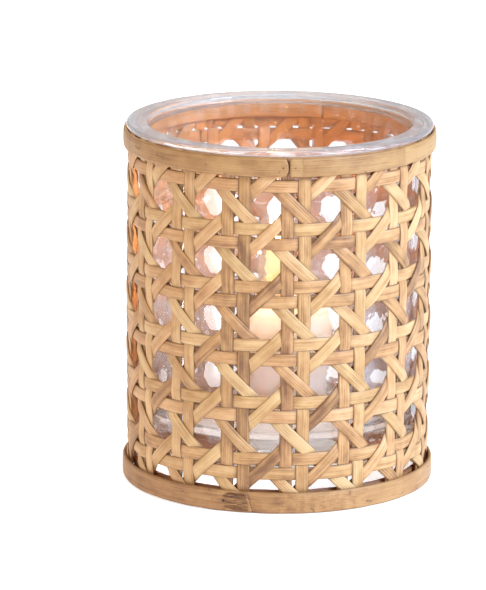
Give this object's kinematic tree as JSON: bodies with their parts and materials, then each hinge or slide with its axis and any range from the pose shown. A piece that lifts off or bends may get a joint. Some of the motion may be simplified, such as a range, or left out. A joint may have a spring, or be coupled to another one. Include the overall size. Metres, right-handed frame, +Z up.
{
  "type": "woven cane candle holder",
  "caption": "Hurricane candle holder: a clear glass insert hangs by its lip in an open-weave cane sleeve and holds a lit votive candle.",
  "frame": {"origin": "centre of the sleeve's lower rim, on the surface it stands on", "axes": "+Z up along the sleeve's axis; -Y is the front, where the slit of the top band is"},
  "size_m": [0.13, 0.13, 0.1508],
  "materials": {
    "clear_glass": "polished, slightly wavy",
    "candle_wax": "satin, translucent",
    "wick_cotton": "charred at the tip",
    "wick_metal": "satin",
    "rattan_band": "natural, satin",
    "rattan_inner_band": "natural, matt",
    "cane_strand": "natural, satin",
    "tack_steel": "darkened",
    "flame": "glowing"
  },
  "bodies": {
    "sleeve": {"top_band_outer": "rattan_band", "bottom_band_outer": "rattan_band", "top_band_inner": "rattan_inner_band", "bottom_band_inner": "rattan_inner_band", "top_band_tacks": "tack_steel", "bottom_band_tacks": "tack_steel", "upright_pair_1": "cane_strand", "upright_pair_2": "cane_strand", "upright_pair_3": "cane_strand", "upright_pair_4": "cane_strand", "upright_pair_5": "cane_strand", "upright_pair_6": "cane_strand", "upright_pair_7": "cane_strand", "upright_pair_8": "cane_strand", "upright_pair_9": "cane_strand", "upright_pair_10": "cane_strand", "upright_pair_11": "cane_strand", "upright_pair_12": "cane_strand", "upright_pair_13": "cane_strand", "upright_pair_14": "cane_strand", "upright_pair_15": "cane_strand", "upright_pair_16": "cane_strand", "hoop_1": "cane_strand", "hoop_2": "cane_strand", "hoop_3": "cane_strand", "hoop_4": "cane_strand", "hoop_5": "cane_strand", "hoop_6": "cane_strand", "hoop_7": "cane_strand", "hoop_8": "cane_strand", "hoop_9": "cane_strand", "hoop_10": "cane_strand", "hoop_11": "cane_strand", "hoop_12": "cane_strand", "rising_diagonals_1": "cane_strand", "rising_diagonals_2": "cane_strand", "rising_diagonals_3": "cane_strand", "rising_diagonals_4": "cane_strand", "rising_diagonals_5": "cane_strand", "rising_diagonals_6": "cane_strand", "rising_diagonals_7": "cane_strand", "rising_diagonals_8": "cane_strand", "falling_diagonals_1": "cane_strand", "falling_diagonals_2": "cane_strand", "falling_diagonals_3": "cane_strand", "falling_diagonals_4": "cane_strand", "falling_diagonals_5": "cane_strand", "falling_diagonals_6": "cane_strand", "falling_diagonals_7": "cane_strand", "falling_diagonals_8": "cane_strand"},
    "glass": {"glass_insert": "clear_glass"},
    "candle": {"candle_wax": "candle_wax", "wick": "wick_cotton", "wick_tab": "wick_metal"}
  },
  "joints": [
    {"name": "glass_lift", "type": "slide", "parent": "sleeve", "child": "glass", "axis": [0, 0, 1], "range_m": [0, 0.16]},
    {"name": "candle_lift", "type": "slide", "parent": "glass", "child": "candle", "axis": [0, 0, 1], "range_m": [0, 0.15]}
  ]
}
